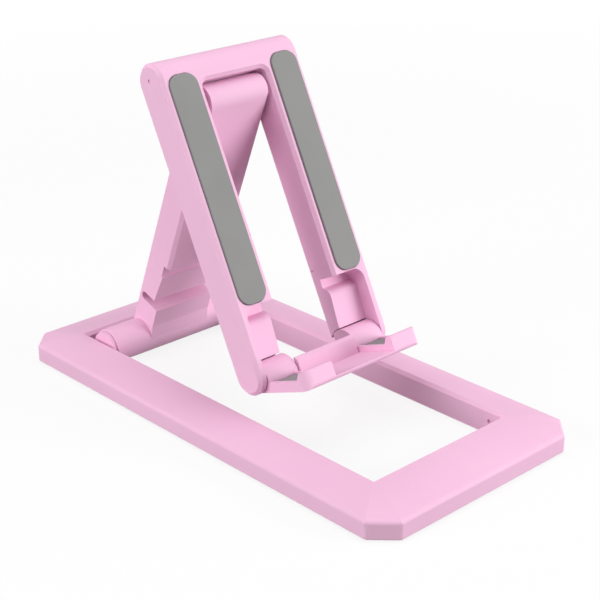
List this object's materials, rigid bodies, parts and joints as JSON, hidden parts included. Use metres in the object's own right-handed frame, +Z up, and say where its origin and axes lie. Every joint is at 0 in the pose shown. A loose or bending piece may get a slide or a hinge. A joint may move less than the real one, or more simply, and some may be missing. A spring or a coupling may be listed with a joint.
{
  "type": "phone and tablet stand",
  "caption": "Folding desk stand: open rectangular base, hinged arm, slotted leaning cradle with two long pads, and a notched lip that holds the phone.",
  "frame": {"origin": "on the table, under the middle of the base", "axes": "+Z up; -Y towards the user and the lip; +X to the user's right"},
  "size_m": [0.0724, 0.145, 0.0937],
  "materials": {
    "shell": "pale pink moulded plastic, satin",
    "pad": "mid grey soft rubber, matt",
    "washer": "dark grey nylon, matt",
    "steel": "plain steel"
  },
  "bodies": {
    "base": {"base_frame": "shell", "base_cover": "shell", "base_screws": "steel", "foot_front_left": "pad", "foot_front_right": "pad", "foot_rear_left": "pad", "foot_rear_right": "pad", "base_pin_left": "steel", "base_pin_right": "steel", "base_washer_left": "shell", "base_washer_right": "shell"},
    "arm": {"arm": "shell", "arm_cover": "shell", "arm_screws": "steel"},
    "cradle": {"cradle": "shell", "cradle_cover_left": "shell", "cradle_cover_right": "shell", "cradle_screws": "steel", "pad_left": "pad", "pad_right": "pad", "tilt_pin": "steel", "tilt_nut": "steel", "tilt_washer_left": "washer", "tilt_washer_right": "washer", "lip_pin_left": "steel", "lip_pin_right": "steel"},
    "lip": {"lip": "shell", "lip_pad_left": "pad", "lip_pad_right": "pad"}
  },
  "joints": [
    {"name": "base_hinge", "type": "hinge", "parent": "base", "child": "arm", "pos_m": [0, 0.0513, 0.0056], "axis": [1, 0, 0], "range_deg": [-22, 66.8]},
    {"name": "tilt_hinge", "type": "hinge", "parent": "arm", "child": "cradle", "pos_m": [0, 0.02051, 0.08181], "axis": [1, 0, 0], "range_deg": [-40, 48.3]},
    {"name": "lip_hinge", "type": "hinge", "parent": "cradle", "child": "lip", "pos_m": [0, -0.01229, 0.01604], "axis": [1, 0, 0], "range_deg": [-90, 0]}
  ]
}
